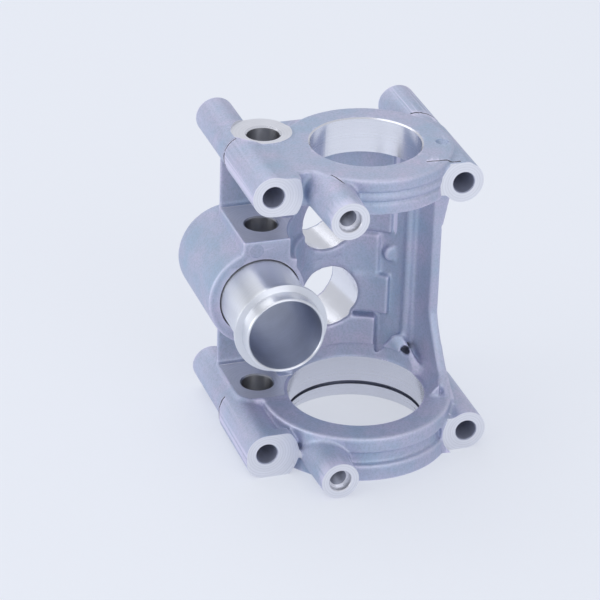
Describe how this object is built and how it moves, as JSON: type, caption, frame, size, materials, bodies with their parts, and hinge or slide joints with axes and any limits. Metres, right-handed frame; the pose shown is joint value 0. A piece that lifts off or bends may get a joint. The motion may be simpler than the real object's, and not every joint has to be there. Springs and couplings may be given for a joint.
{
  "type": "camshaft holder",
  "caption": "Die-cast camshaft holder with two bearing rings, rocker shaft and valve lifter bores and a pressed plug tube.",
  "frame": {"origin": "centre of the large ball bearing's seat, on the camshaft axis", "axes": "+Z along the camshaft from the large seat to the small one, +Y towards the cylinder head, +X towards the side wall"},
  "size_m": [0.0925, 0.0846, 0.1114],
  "materials": {
    "cast_aluminium": "satin",
    "turned_steel": "brushed"
  },
  "bodies": {
    "root": {"holder_casting": "cast_aluminium", "plug_tube": "turned_steel"}
  },
  "joints": []
}
